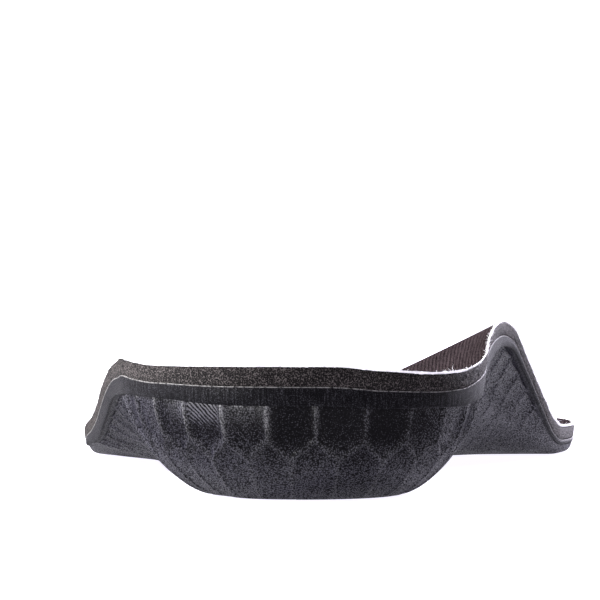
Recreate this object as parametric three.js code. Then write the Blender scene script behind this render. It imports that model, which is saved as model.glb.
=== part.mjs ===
import * as THREE from "three";

// A left-foot moulded insole in millimetres. While it is drawn, y runs from the back of the heel to the
// toe, x from the lateral (outer) side to the medial (arch) side and z up from the floor.
const LENGTH = 276;
const HEEL = { halfWidth: 33.3, centreY: 40, roundness: 2.1 };
const TOE_TIP_X = 9;
const CENTRE_X = -0.8;
const SPINE_START_Y = 38;
const SPINE_END_Y = 236;

// Each side leaves the heel's curve at joinY and swells to the ball of the foot. Leave and arrive are the
// slopes at its two ends, as shares of the mean slope, and a waist over 1 holds the swell back.
const SIDES = {
  Medial: { joinY: 40, ballX: 48.4, ballY: 208, waist: 1.3, leave: 0, arrive: 0, toeRoundness: 2.3 },
  Lateral: { joinY: 34.4, ballX: -50.4, ballY: 188, waist: 1, leave: 0.85, arrive: 0.3, toeRoundness: 2.1 },
};

// Share of the curve's own parameter that the heel quarter and the side take, the toe has the rest.
const HEEL_SHARE = 0.3;
const SIDE_SHARE = 0.4;

const COVER_THICKNESS = 0.6;
const LAYER_GAP = 0.3;
const EDGE_TAPER = 0.1;

// Height of the top at each length: both rims, the seat on the spine, and how hollow each half is.
const TOP_COLUMNS = ["y", "rimLateral", "rimMedial", "seat", "bowlLateral", "bowlMedial"];
const TOP_TABLE = namedRows(TOP_COLUMNS, [
  [0, 24.4, 24.4, 9.0, 2.6, 2.6],
  [4, 24.3, 23.5, 9.0, 2.6, 2.6],
  [13, 24.2, 22.7, 9.0, 2.6, 2.6],
  [20, 24.5, 22.9, 9.0, 2.6, 2.6],
  [28, 24.9, 24.0, 9.0, 2.6, 2.5],
  [36, 24.5, 25.3, 9.0, 2.6, 2.3],
  [45, 23.8, 26.7, 9.2, 2.6, 2.0],
  [58, 22.9, 27.6, 9.9, 2.5, 1.65],
  [70, 21.7, 28.4, 10.8, 2.4, 1.4],
  [83, 19.6, 29.2, 11.7, 2.3, 1.18],
  [95, 16.9, 29.5, 12.2, 2.2, 1.1],
  [112, 12.4, 28.0, 11.4, 2.0, 1.1],
  [130, 9.6, 21.7, 9.3, 2.0, 1.2],
  [150, 7.9, 13.5, 7.2, 2.0, 1.4],
  [164, 6.6, 8.3, 6.2, 2.0, 1.6],
  [176, 6.0, 6.2, 5.7, 2.0, 1.8],
  [200, 5.6, 5.5, 5.3, 2.0, 2.0],
  [240, 4.9, 4.8, 4.8, 2.0, 2.0],
  [LENGTH, 4.5, 4.5, 4.5, 2.0, 2.0],
]);

// Edge and underside at each length: depth of cover and foam, height of the band under them on each side,
// the ledge under the band, the width of each flank from rim to floor, its roundness, and the arch's lift.
const EDGE_COLUMNS = ["foamEdge", "bandLateral", "bandMedial", "ledge"];
const WALL_COLUMNS = ["flankLateral", "flankMedial", "roundness", "archLift"];
const UNDER_COLUMNS = ["y", ...EDGE_COLUMNS, ...WALL_COLUMNS];
const UNDER_TABLE = namedRows(UNDER_COLUMNS, [
  [0, 3.95, 3.45, 3.45, 0.6, 14.2, 13.8, 1.56, 0.0],
  [12, 3.5, 2.8, 2.9, 0.6, 17.2, 14.2, 1.56, 0.0],
  [20, 3.5, 2.9, 3.2, 0.6, 16.8, 14.6, 1.56, 0.0],
  [28, 3.5, 3.4, 3.7, 0.6, 16.5, 15.0, 1.56, 0.0],
  [36, 3.5, 3.4, 4.6, 0.6, 16.7, 15.0, 1.54, 0.0],
  [45, 3.4, 3.3, 5.0, 0.7, 17.4, 15.2, 1.44, 0.2],
  [58, 3.2, 3.1, 4.6, 1.0, 18.8, 15.2, 1.28, 0.8],
  [70, 3.1, 3.0, 3.8, 1.2, 19.6, 15.2, 1.16, 1.5],
  [95, 3.0, 3.6, 2.5, 1.3, 20.2, 14.6, 1.08, 3.5],
  [112, 2.8, 3.4, 1.6, 1.2, 20.2, 14.0, 1.08, 3.8],
  [130, 2.7, 2.4, 1.0, 1.0, 18.8, 13.5, 1.12, 3.3],
  [150, 2.8, 1.6, 1.0, 0.8, 15.6, 12.0, 1.2, 2.0],
  [170, 3.0, 1.2, 1.0, 0.5, 7.6, 7.6, 1.4, 0.8],
  [184, 3.0, 1.0, 1.0, 0.3, 2.2, 2.8, 1.8, 0.0],
  [200, 3.0, 1.0, 1.0, 0.2, 1.5, 1.5, 2.0, 0.0],
  [LENGTH, 2.6, 1.0, 1.0, 0.2, 1.5, 1.5, 2.0, 0.0],
]);

// Moulded relief: ribs stand between sunk panels, fork part way down the wall and go on half a cell over.
const RELIEF_DEPTH = 0.5;
const RELIEF = {
  Medial: { firstRib: 4.2, halfCell: 4.85, halfCells: 35 },
  Lateral: { firstRib: 5.05, halfCell: 4.4, halfCells: 33 },
};
const RIB_HALF_WIDTH = 0.95;
const FORK_AT = 0.33;
const VALLEY_AT = 0.46;
const RELIEF_FADE = 0.15;

// Columns of the loft on each side, and the shares of the way from spine to rim that its rings stand at.
const COARSE_RELIEF_COLUMNS = 34;
const FOREFOOT_COLUMNS = 22;
const TOP_RINGS = [0.1, 0.36, 0.66, 0.88];
const LOWER_WALL_ROWS = [0.66, 0.88];
const UNDERSIDE_RINGS = [{ reach: 0.6, lift: 0.35 }, { reach: 0.12, lift: 0 }];

/** Gives each row of a table the names of its columns. */
function namedRows(columns, rows) {
  return rows.map((row) => Object.fromEntries(columns.map((name, i) => [name, row[i]])));
}

/** Reads one column of a table at a length y, as a smooth curve that stays between its rows. */
function readColumn(table, column, y) {
  const slope = (k) => (table[k + 1][column] - table[k][column]) / (table[k + 1].y - table[k].y);
  const tangent = (k) => {
    const product = k > 0 && k < table.length - 1 ? slope(k - 1) * slope(k) : 0;
    return product > 0 ? (2 * product) / (slope(k - 1) + slope(k)) : 0;
  };
  const i = THREE.MathUtils.clamp(table.findLastIndex((row) => row.y <= y), 0, table.length - 2);
  const step = table[i + 1].y - table[i].y;
  const rise = table[i + 1][column] - table[i][column];
  const t = THREE.MathUtils.clamp((y - table[i].y) / step, 0, 1);
  const bend = (1 - t) * (tangent(i) * step - rise) - t * (tangent(i + 1) * step - rise);
  return table[i][column] + rise * t + t * (1 - t) * bend;
}

/** One quarter of a rounded corner: 0 to 1 on both axes, round at 2 and squarer above. */
function quarterTurn(t, roundness) {
  const angle = (THREE.MathUtils.clamp(t, 0, 1) * Math.PI) / 2;
  const power = 2 / roundness;
  return { rise: Math.sin(angle) ** power, fall: Math.cos(angle) ** power };
}

/** The share of a quarter's turn at which its fall is down to a given value. */
function turnToFall(fall, roundness) {
  return (Math.acos(fall ** (roundness / 2)) * 2) / Math.PI;
}

/** The rim of one side in plan and height, from the middle of the heel's back to the tip of the toe. */
class RimCurve extends THREE.Curve {
  constructor(side) {
    super();
    this.arcLengthDivisions = 1200;
    this.side = side;
    this.sizes = SIDES[side];
    this.joinTurn = turnToFall(1 - this.sizes.joinY / HEEL.centreY, HEEL.roundness);
    this.heelX = Math.sign(this.sizes.ballX) * HEEL.halfWidth;
    this.joinX = this.heelX * quarterTurn(this.joinTurn, HEEL.roundness).rise;
  }

  /** Where the side stands at a length y, as it swells from the heel to the ball of the foot. */
  sideX(y) {
    const { joinY, ballX, ballY, waist, leave, arrive } = this.sizes;
    const way = THREE.MathUtils.clamp((y - joinY) / (ballY - joinY), 0, 1) ** waist;
    const ends = leave * way * (1 - way) ** 2 - arrive * way ** 2 * (1 - way);
    return THREE.MathUtils.lerp(this.joinX, ballX, THREE.MathUtils.smoothstep(way, 0, 1) + ends);
  }

  getPoint(t, target = new THREE.Vector3()) {
    const { joinY, ballX, ballY, toeRoundness } = this.sizes;
    if (t < HEEL_SHARE) {
      const turn = quarterTurn((t / HEEL_SHARE) * this.joinTurn, HEEL.roundness);
      target.x = this.heelX * turn.rise;
      target.y = HEEL.centreY * (1 - turn.fall);
    } else if (t < HEEL_SHARE + SIDE_SHARE) {
      target.y = THREE.MathUtils.lerp(joinY, ballY, (t - HEEL_SHARE) / SIDE_SHARE);
      target.x = this.sideX(target.y);
    } else {
      const way = (t - HEEL_SHARE - SIDE_SHARE) / (1 - HEEL_SHARE - SIDE_SHARE);
      const turn = quarterTurn(way, toeRoundness);
      target.x = THREE.MathUtils.lerp(TOE_TIP_X, ballX, turn.fall);
      target.y = THREE.MathUtils.lerp(ballY, LENGTH, turn.rise);
    }
    target.z = readColumn(TOP_TABLE, `rim${this.side}`, target.y);
    return target;
  }
}

const RIMS = { Medial: new RimCurve("Medial"), Lateral: new RimCurve("Lateral") };

/** One column of the loft: its rim point, the spine point it faces and the sizes of its section. */
function makeStation(side, along, turn) {
  const rimCurve = RIMS[side];
  const rim = rimCurve.getPointAt(Math.min(along / rimCurve.getLength(), 1));
  const spineY = THREE.MathUtils.clamp(rim.y, SPINE_START_Y, SPINE_END_Y);
  const spineX = (RIMS.Medial.sideX(spineY) + RIMS.Lateral.sideX(spineY)) / 2;
  const spine = new THREE.Vector3(spineX, spineY, 0);
  const under = (column) => readColumn(UNDER_TABLE, column, rim.y);
  return {
    side,
    along,
    turn,
    rim,
    spine,
    run: Math.hypot(rim.x - spine.x, rim.y - spine.y),
    seat: readColumn(TOP_TABLE, "seat", spineY),
    bowl: readColumn(TOP_TABLE, `bowl${side}`, rim.y),
    foamEdge: under("foamEdge"),
    bandEdge: under(`band${side}`),
    ledge: under("ledge"),
    flank: under(`flank${side}`),
    roundness: under("roundness"),
    lift: side === "Medial" ? under("archLift") : 0,
  };
}

/** Where the relief of one side ends, measured along its rim from the back of the heel. */
function reliefEnd(side) {
  return RELIEF[side].firstRib + RELIEF[side].halfCells * RELIEF[side].halfCell;
}

/** Evenly spread distances from start up to, but not on, stop. */
function spread(count, start, stop) {
  return Array.from({ length: count }, (_, i) => THREE.MathUtils.lerp(start, stop, i / count));
}

/** Distances along one side of its columns: three at each rib for the wall, evenly spread elsewhere. */
function columnsAlong(side, fine) {
  const end = reliefEnd(side);
  const length = RIMS[side].getLength();
  const forefoot = [...spread(FOREFOOT_COLUMNS, end, length), length];
  if (!fine) {
    return [...spread(COARSE_RELIEF_COLUMNS, 0, end), ...forefoot];
  }
  const columns = [0];
  for (let i = -1; i < RELIEF[side].halfCells; i += 1) {
    const rib = RELIEF[side].firstRib + i * RELIEF[side].halfCell;
    columns.push(...[rib - RIB_HALF_WIDTH, rib, rib + RIB_HALF_WIDTH].filter((along) => along > 0));
  }
  return [...columns, ...forefoot];
}

/** All columns once round the insole: up the medial side to the toe and back down the lateral side. */
function makeStations(fine) {
  const turnOf = (side, along) => along / RIMS[side].getLength() / 2;
  const medial = columnsAlong("Medial", fine);
  const lateral = columnsAlong("Lateral", fine).slice(1, -1).reverse();
  return [
    ...medial.map((along) => makeStation("Medial", along, turnOf("Medial", along))),
    ...lateral.map((along) => makeStation("Lateral", along, 1 - turnOf("Lateral", along))),
  ];
}

/** A point of the plan at a share of the way from spine to rim, at a given height. */
function planPoint(station, share, height) {
  const point = new THREE.Vector3().lerpVectors(station.spine, station.rim, share);
  point.z = height;
  return point;
}

/** Ring of points parallel to the top, a given depth under it. */
function surfaceRing(stations, share, depthOf) {
  return stations.map((station) => {
    const top = station.seat + (station.rim.z - station.seat) * share ** station.bowl;
    return planPoint(station, share, top - depthOf(station));
  });
}

/** Ring of points down the trimmed edge, which leans in a little below the rim. */
function edgeRing(stations, depthOf) {
  return stations.map((station) => {
    const depth = depthOf(station);
    return planPoint(station, 1 - (EDGE_TAPER * depth) / station.run, station.rim.z - depth);
  });
}

/** How far a place on the wall stands up between panel (0) and rib (1). */
function ridgeAt(station, down) {
  if (station.along > reliefEnd(station.side)) {
    return 1;
  }
  const { firstRib, halfCell } = RELIEF[station.side];
  const past = THREE.MathUtils.euclideanModulo(station.along - firstRib, 2 * halfCell);
  const fromRib = Math.min(past, 2 * halfCell - past);
  const fork = THREE.MathUtils.clamp((down - FORK_AT) / (VALLEY_AT - FORK_AT), 0, 1);
  return Math.max(0, 1 - Math.abs(fromRib - fork * halfCell) / RIB_HALF_WIDTH);
}

/** Inset from the rim and height of the moulded wall, from the ledge (down 0) to the floor (down 1). */
function wallSection(station, down) {
  const depth = station.foamEdge + station.bandEdge;
  const start = EDGE_TAPER * depth + station.ledge;
  const turn = quarterTurn(down, station.roundness);
  const inset = start + (station.flank - start) * (1 - turn.fall);
  const height = station.lift + (station.rim.z - depth - station.lift) * (1 - turn.rise);
  return new THREE.Vector2(inset, height);
}

/** Ring of points on the moulded wall, sunk at right angles to it where there is a panel. */
function wallRing(stations, down) {
  const reach = 0.01;
  return stations.map((station) => {
    const before = wallSection(station, Math.max(down - reach, 0));
    const after = wallSection(station, Math.min(down + reach, 1));
    const along = after.sub(before).normalize();
    const fade = Math.min(1, (1 - down) / RELIEF_FADE);
    const sunk = RELIEF_DEPTH * fade * (1 - ridgeAt(station, down));
    const place = wallSection(station, down);
    return planPoint(station, 1 - (place.x - along.y * sunk) / station.run, place.y + along.x * sunk);
  });
}

/** Ring of points on the underside, inside the floor edge of the wall. */
function undersideRing(stations, { reach, lift }) {
  return stations.map((station) => {
    const share = reach * (1 - station.flank / station.run);
    return planPoint(station, share, lift * station.lift);
  });
}

/** Closes a solid from rings of points listed from the middle of its top to the middle of its underside. */
class Skin {
  constructor() {
    this.positions = [];
    this.triangles = [];
    this.rings = [];
  }

  addRing(stations, points, down = null) {
    const first = this.positions.length / 3;
    points.forEach((point) => this.positions.push(point.x, point.y, point.z));
    this.rings.push({
      ids: points.map((_, i) => first + i),
      turns: stations.map((station) => station.turn),
      ridges: stations.map((station) => (down === null ? 0 : ridgeAt(station, down))),
    });
  }

  /** Joins two rings by walking round both at once, and splits a square along its higher diagonal. */
  stitch(lower, upper) {
    let i = 0;
    let j = 0;
    const at = (list, k) => list[k % list.length];
    const turnAfter = (ring, k) => (k + 1 < ring.turns.length ? ring.turns[k + 1] : 1);
    while (i < lower.ids.length || j < upper.ids.length) {
      const lead = turnAfter(upper, j) - turnAfter(lower, i);
      const rising = at(lower.ridges, i) + at(upper.ridges, j + 1);
      const falling = at(lower.ridges, i + 1) + at(upper.ridges, j);
      const stepUpper = Math.abs(lead) < 1e-9 ? rising > falling : lead < 0;
      if (i < lower.ids.length && (j === upper.ids.length || !stepUpper)) {
        this.triangles.push(at(lower.ids, i), at(lower.ids, i + 1), at(upper.ids, j));
        i += 1;
      } else {
        this.triangles.push(at(lower.ids, i), at(upper.ids, j + 1), at(upper.ids, j));
        j += 1;
      }
    }
  }

  /** Fills a ring across, from each medial point to the lateral point it faces. */
  fill({ ids }, facesUp) {
    const half = ids.length / 2;
    const face = (a, b, c) => this.triangles.push(...(facesUp ? [a, b, c] : [a, c, b]));
    for (let i = 0; i < half; i += 1) {
      const [near, far] = [ids[i], ids[i + 1]];
      const [nearAcross, farAcross] = [ids[(ids.length - i) % ids.length], ids[ids.length - i - 1]];
      if (near !== nearAcross) {
        face(near, far, nearAcross);
      }
      if (far !== farAcross) {
        face(far, farAcross, nearAcross);
      }
    }
  }

  toMesh(name, finish) {
    this.fill(this.rings[0], true);
    for (let k = 1; k < this.rings.length; k += 1) {
      this.stitch(this.rings[k], this.rings[k - 1]);
    }
    this.fill(this.rings[this.rings.length - 1], false);
    const geometry = new THREE.BufferGeometry();
    geometry.setAttribute("position", new THREE.Float32BufferAttribute(this.positions, 3));
    geometry.setIndex(this.triangles);
    geometry.translate(-CENTRE_X, -LENGTH / 2, 0);
    geometry.computeVertexNormals();
    const mesh = new THREE.Mesh(geometry, new THREE.MeshStandardMaterial(finish));
    mesh.name = name;
    return mesh;
  }
}

/** A layer of even depth between two depths under the top. */
function layerSkin(stations, upperDepth, lowerDepth) {
  const skin = new Skin();
  const addSurface = (share, depthOf) => skin.addRing(stations, surfaceRing(stations, share, depthOf));
  TOP_RINGS.forEach((share) => addSurface(share, upperDepth));
  skin.addRing(stations, edgeRing(stations, upperDepth));
  skin.addRing(stations, edgeRing(stations, lowerDepth));
  TOP_RINGS.toReversed().forEach((share) => addSurface(share, lowerDepth));
  return skin;
}

/** The moulded base: layer top, smooth band, ledge, wall with relief, and underside. */
function baseSkin(coarse, fine) {
  const topDepth = (station) => station.foamEdge + LAYER_GAP;
  const bandDepth = (station) => station.foamEdge + station.bandEdge;
  const forkStep = ((VALLEY_AT - FORK_AT) * RIB_HALF_WIDTH) / RELIEF.Medial.halfCell;
  const forkRows = [FORK_AT, FORK_AT + forkStep, VALLEY_AT - forkStep, VALLEY_AT];
  const wallRows = [0, FORK_AT / 2, ...forkRows, ...LOWER_WALL_ROWS, 1];
  const skin = new Skin();
  TOP_RINGS.forEach((share) => skin.addRing(coarse, surfaceRing(coarse, share, topDepth)));
  skin.addRing(fine, edgeRing(fine, topDepth));
  skin.addRing(fine, edgeRing(fine, bandDepth));
  wallRows.forEach((down) => skin.addRing(fine, wallRing(fine, down), down));
  UNDERSIDE_RINGS.forEach((ring) => skin.addRing(coarse, undersideRing(coarse, ring)));
  return skin;
}

const coarseStations = makeStations(false);
const fineStations = makeStations(true);
const coverUnderside = () => COVER_THICKNESS;
const foamTop = () => COVER_THICKNESS + LAYER_GAP;
const foamUnderside = (station) => station.foamEdge;
const coverSkin = layerSkin(coarseStations, () => 0, coverUnderside);
const foamSkin = layerSkin(coarseStations, foamTop, foamUnderside);
const mouldedSkin = baseSkin(coarseStations, fineStations);

const KNIT = { color: 0x4a4246, roughness: 0.95, metalness: 0 };
const OPEN_FOAM = { color: 0x4c4748, roughness: 0.95, metalness: 0 };
const MOULDED_FOAM = { color: 0x2f2e35, roughness: 0.7, metalness: 0 };

const insole = new THREE.Group();
insole.name = "insole";
insole.add(coverSkin.toMesh("top_cover", KNIT));
insole.add(foamSkin.toMesh("cushion_foam", OPEN_FOAM));
insole.add(mouldedSkin.toMesh("moulded_base", MOULDED_FOAM));

export default insole;
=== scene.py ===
"""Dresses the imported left-foot insole: moulded base, cushion foam, knit cover and its cut edge."""

import logging
import math
from dataclasses import dataclass, field
from enum import Enum
from typing import Any, Callable, Sequence

import bpy
import numpy as np
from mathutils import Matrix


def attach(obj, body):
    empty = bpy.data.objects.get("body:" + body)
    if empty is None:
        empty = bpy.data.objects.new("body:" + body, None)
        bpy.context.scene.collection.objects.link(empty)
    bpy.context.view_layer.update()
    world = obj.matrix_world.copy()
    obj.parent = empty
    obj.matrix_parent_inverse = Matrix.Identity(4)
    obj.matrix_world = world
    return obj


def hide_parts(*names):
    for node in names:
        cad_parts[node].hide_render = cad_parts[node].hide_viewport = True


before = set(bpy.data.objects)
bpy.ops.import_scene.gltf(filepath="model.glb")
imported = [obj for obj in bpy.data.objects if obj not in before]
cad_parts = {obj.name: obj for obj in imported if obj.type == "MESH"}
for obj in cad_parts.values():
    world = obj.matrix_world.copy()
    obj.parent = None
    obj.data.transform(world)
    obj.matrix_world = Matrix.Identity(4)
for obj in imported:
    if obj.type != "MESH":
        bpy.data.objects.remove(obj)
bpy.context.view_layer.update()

LOG = logging.getLogger("insole")
MM = 0.001
Colour = tuple[float, float, float, float]
Triple = tuple[float, float, float]
Row = tuple[float, ...]
Profile = tuple[tuple[float, float], ...]
AddRing = Callable[..., None]


class Side(Enum):
    """The two sides of the foot, by the sign of x."""

    LATERAL = -1
    MEDIAL = 1


class Slot(Enum):
    """The record's material slots."""

    KNIT = "knit_fabric"
    CUSHION = "open_cell_foam"
    MOULDED = "moulded_foam"


@dataclass(frozen=True)
class SectionTable:
    """Sizes of the section at stated lengths, read between them as a smooth curve.

    Args:
        columns: Names of the columns, the length first.
        rows: One row of sizes in millimetres for each length.
    """

    columns: tuple[str, ...]
    rows: tuple[Row, ...]

    def read(self, column: str, at: np.ndarray) -> np.ndarray:
        """Reads one column at the given lengths, never past its neighbouring rows.

        Args:
            column: Name of the column.
            at: Lengths from the back of the heel in millimetres.

        Returns:
            The sizes at those lengths.
        """
        data = np.array(self.rows)
        length, value = data[:, 0], data[:, self.columns.index(column)]
        slope = np.diff(value) / np.diff(length)
        product = slope[:-1] * slope[1:]
        total = np.where(product > 0, slope[:-1] + slope[1:], 1.0)
        tangent = np.zeros(len(length))
        tangent[1:-1] = np.where(product > 0, 2 * product / total, 0.0)
        row = np.clip(np.searchsorted(length, at, side="right") - 1, 0, len(length) - 2)
        step = length[row + 1] - length[row]
        rise = value[row + 1] - value[row]
        way = np.clip((at - length[row]) / step, 0, 1)
        bend = (1 - way) * (tangent[row] * step - rise) - way * (tangent[row + 1] * step - rise)
        return value[row] + rise * way + way * (1 - way) * bend


TOP_TABLE = SectionTable(
    ("y", "rim_lateral", "rim_medial", "seat", "bowl_lateral", "bowl_medial"),
    (
        (0, 24.4, 24.4, 9.0, 2.6, 2.6),
        (4, 24.3, 23.5, 9.0, 2.6, 2.6),
        (13, 24.2, 22.7, 9.0, 2.6, 2.6),
        (20, 24.5, 22.9, 9.0, 2.6, 2.6),
        (28, 24.9, 24.0, 9.0, 2.6, 2.5),
        (36, 24.5, 25.3, 9.0, 2.6, 2.3),
        (45, 23.8, 26.7, 9.2, 2.6, 2.0),
        (58, 22.9, 27.6, 9.9, 2.5, 1.65),
        (70, 21.7, 28.4, 10.8, 2.4, 1.4),
        (83, 19.6, 29.2, 11.7, 2.3, 1.18),
        (95, 16.9, 29.5, 12.2, 2.2, 1.1),
        (112, 12.4, 28.0, 11.4, 2.0, 1.1),
        (130, 9.6, 21.7, 9.3, 2.0, 1.2),
        (150, 7.9, 13.5, 7.2, 2.0, 1.4),
        (164, 6.6, 8.3, 6.2, 2.0, 1.6),
        (176, 6.0, 6.2, 5.7, 2.0, 1.8),
        (200, 5.6, 5.5, 5.3, 2.0, 2.0),
        (240, 4.9, 4.8, 4.8, 2.0, 2.0),
        (276, 4.5, 4.5, 4.5, 2.0, 2.0),
    ),
)

UNDER_TABLE = SectionTable(
    (
        "y",
        "foam_edge",
        "band_lateral",
        "band_medial",
        "ledge",
        "flank_lateral",
        "flank_medial",
        "roundness",
        "arch_lift",
    ),
    (
        (0, 3.95, 3.45, 3.45, 0.6, 14.2, 13.8, 1.56, 0.0),
        (12, 3.5, 2.8, 2.9, 0.6, 17.2, 14.2, 1.56, 0.0),
        (20, 3.5, 2.9, 3.2, 0.6, 16.8, 14.6, 1.56, 0.0),
        (28, 3.5, 3.4, 3.7, 0.6, 16.5, 15.0, 1.56, 0.0),
        (36, 3.5, 3.4, 4.6, 0.6, 16.7, 15.0, 1.54, 0.0),
        (45, 3.4, 3.3, 5.0, 0.7, 17.4, 15.2, 1.44, 0.2),
        (58, 3.2, 3.1, 4.6, 1.0, 18.8, 15.2, 1.28, 0.8),
        (70, 3.1, 3.0, 3.8, 1.2, 19.6, 15.2, 1.16, 1.5),
        (95, 3.0, 3.6, 2.5, 1.3, 20.2, 14.6, 1.08, 3.5),
        (112, 2.8, 3.4, 1.6, 1.2, 20.2, 14.0, 1.08, 3.8),
        (130, 2.7, 2.4, 1.0, 1.0, 18.8, 13.5, 1.12, 3.3),
        (150, 2.8, 1.6, 1.0, 0.8, 15.6, 12.0, 1.2, 2.0),
        (170, 3.0, 1.2, 1.0, 0.5, 7.6, 7.6, 1.4, 0.8),
        (184, 3.0, 1.0, 1.0, 0.3, 2.2, 2.8, 1.8, 0.0),
        (200, 3.0, 1.0, 1.0, 0.2, 1.5, 1.5, 2.0, 0.0),
        (276, 2.6, 1.0, 1.0, 0.2, 1.5, 1.5, 2.0, 0.0),
    ),
)


@dataclass(frozen=True)
class SideSwell:
    """How one side leaves the heel's curve, swells to the ball of the foot and rounds the toe.

    Args:
        join_y: Length at which the side leaves the heel's curve.
        ball_x: Where the ball of the foot stands out furthest.
        ball_y: Length at which it does.
        waist: Over 1, holds the swell back.
        leave: Slope at the heel, as a share of the mean slope.
        arrive: Slope at the ball, as a share of the mean slope.
        toe_roundness: Squareness of the toe's quarter, 2 being round.
    """

    join_y: float
    ball_x: float
    ball_y: float
    waist: float
    leave: float
    arrive: float
    toe_roundness: float


SWELLS = {
    Side.LATERAL: SideSwell(34.4, -50.4, 188.0, 1.0, 0.85, 0.3, 2.1),
    Side.MEDIAL: SideSwell(40.0, 48.4, 208.0, 1.3, 0.0, 0.0, 2.3),
}


@dataclass(frozen=True)
class ReliefPitch:
    """Where the ribs of one side stand, measured along its rim from the back of the heel."""

    first_rib: float
    half_cell: float
    half_cells: int

    @property
    def end(self) -> float:
        """Where the relief runs out."""
        return self.first_rib + self.half_cells * self.half_cell


RELIEF = {
    Side.LATERAL: ReliefPitch(5.05, 4.4, 33),
    Side.MEDIAL: ReliefPitch(4.2, 4.85, 35),
}


@dataclass(frozen=True)
class Span:
    """A stretch over which something changes.

    Args:
        start: Where the change starts.
        end: Where it is complete.
    """

    start: float
    end: float

    def rise(self, value: np.ndarray | float) -> np.ndarray:
        """Eases from 0 at the start to 1 at the end."""
        way = np.clip((value - self.start) / (self.end - self.start), 0, 1)
        return way * way * (3 - 2 * way)

    def fall(self, value: np.ndarray | float) -> np.ndarray:
        """Eases from 1 at the start to 0 at the end."""
        return 1 - self.rise(value)


@dataclass(frozen=True)
class Scatter:
    """A size that strays by chance.

    Args:
        middle: What it is on average.
        spread: How far it usually strays.
    """

    middle: float
    spread: float

    def draw(self, chance: np.random.Generator, count: int) -> np.ndarray:
        """Draws so many sizes."""
        return chance.normal(self.middle, self.spread, count)


def quarter_turn(turn: float, roundness: np.ndarray) -> tuple[np.ndarray, np.ndarray]:
    """The rise and fall of rounded corners at a share of their turn."""
    angle = turn * math.pi / 2
    return math.sin(angle) ** (2 / roundness), max(math.cos(angle), 0.0) ** (2 / roundness)


@dataclass(frozen=True)
class Stations:
    """Columns once round the insole: toe tip, lateral side, heel, medial side, toe tip again.

    Every field is one number per column, in millimetres from the back of the heel.
    """

    side: np.ndarray
    along: np.ndarray
    rim_x: np.ndarray
    rim_y: np.ndarray
    rim_z: np.ndarray
    spine_x: np.ndarray
    spine_y: np.ndarray
    middle_x: np.ndarray
    middle_y: np.ndarray
    middle_seat: np.ndarray
    middle_edge: np.ndarray
    run: np.ndarray
    seat: np.ndarray
    bowl: np.ndarray
    foam_edge: np.ndarray
    band_edge: np.ndarray
    ledge: np.ndarray
    flank: np.ndarray
    roundness: np.ndarray
    lift: np.ndarray

    @property
    def count(self) -> int:
        """How many columns there are."""
        return len(self.along)

    def plan(self, share: np.ndarray | float, height: np.ndarray | float) -> np.ndarray:
        """Points at a share of the way from spine to rim.

        Args:
            share: Share of the way, for all columns or for each.
            height: Height over the floor, for all columns or for each.

        Returns:
            One point per column.
        """
        x = self.spine_x + share * (self.rim_x - self.spine_x)
        y = self.spine_y + share * (self.rim_y - self.spine_y)
        return np.stack([x, y, np.broadcast_to(height, x.shape)], axis=1)

    def layer(self, share: np.ndarray | float, depth: np.ndarray | float) -> np.ndarray:
        """Points of a surface that follows the top at a depth under it."""
        return self.plan(share, self.seat + (self.rim_z - self.seat) * share**self.bowl - depth)

    def middle(self, height: np.ndarray | float) -> np.ndarray:
        """Points of the spine that the columns of both sides share, at a height."""
        return np.stack(
            [self.middle_x, self.middle_y, np.broadcast_to(height, self.middle_x.shape)], axis=1
        )

    def inset(self, inward: np.ndarray | float, height: np.ndarray | float) -> np.ndarray:
        """Points a number of millimetres in from the rim, at a height."""
        return self.plan(1 - inward / self.run, height)


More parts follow.
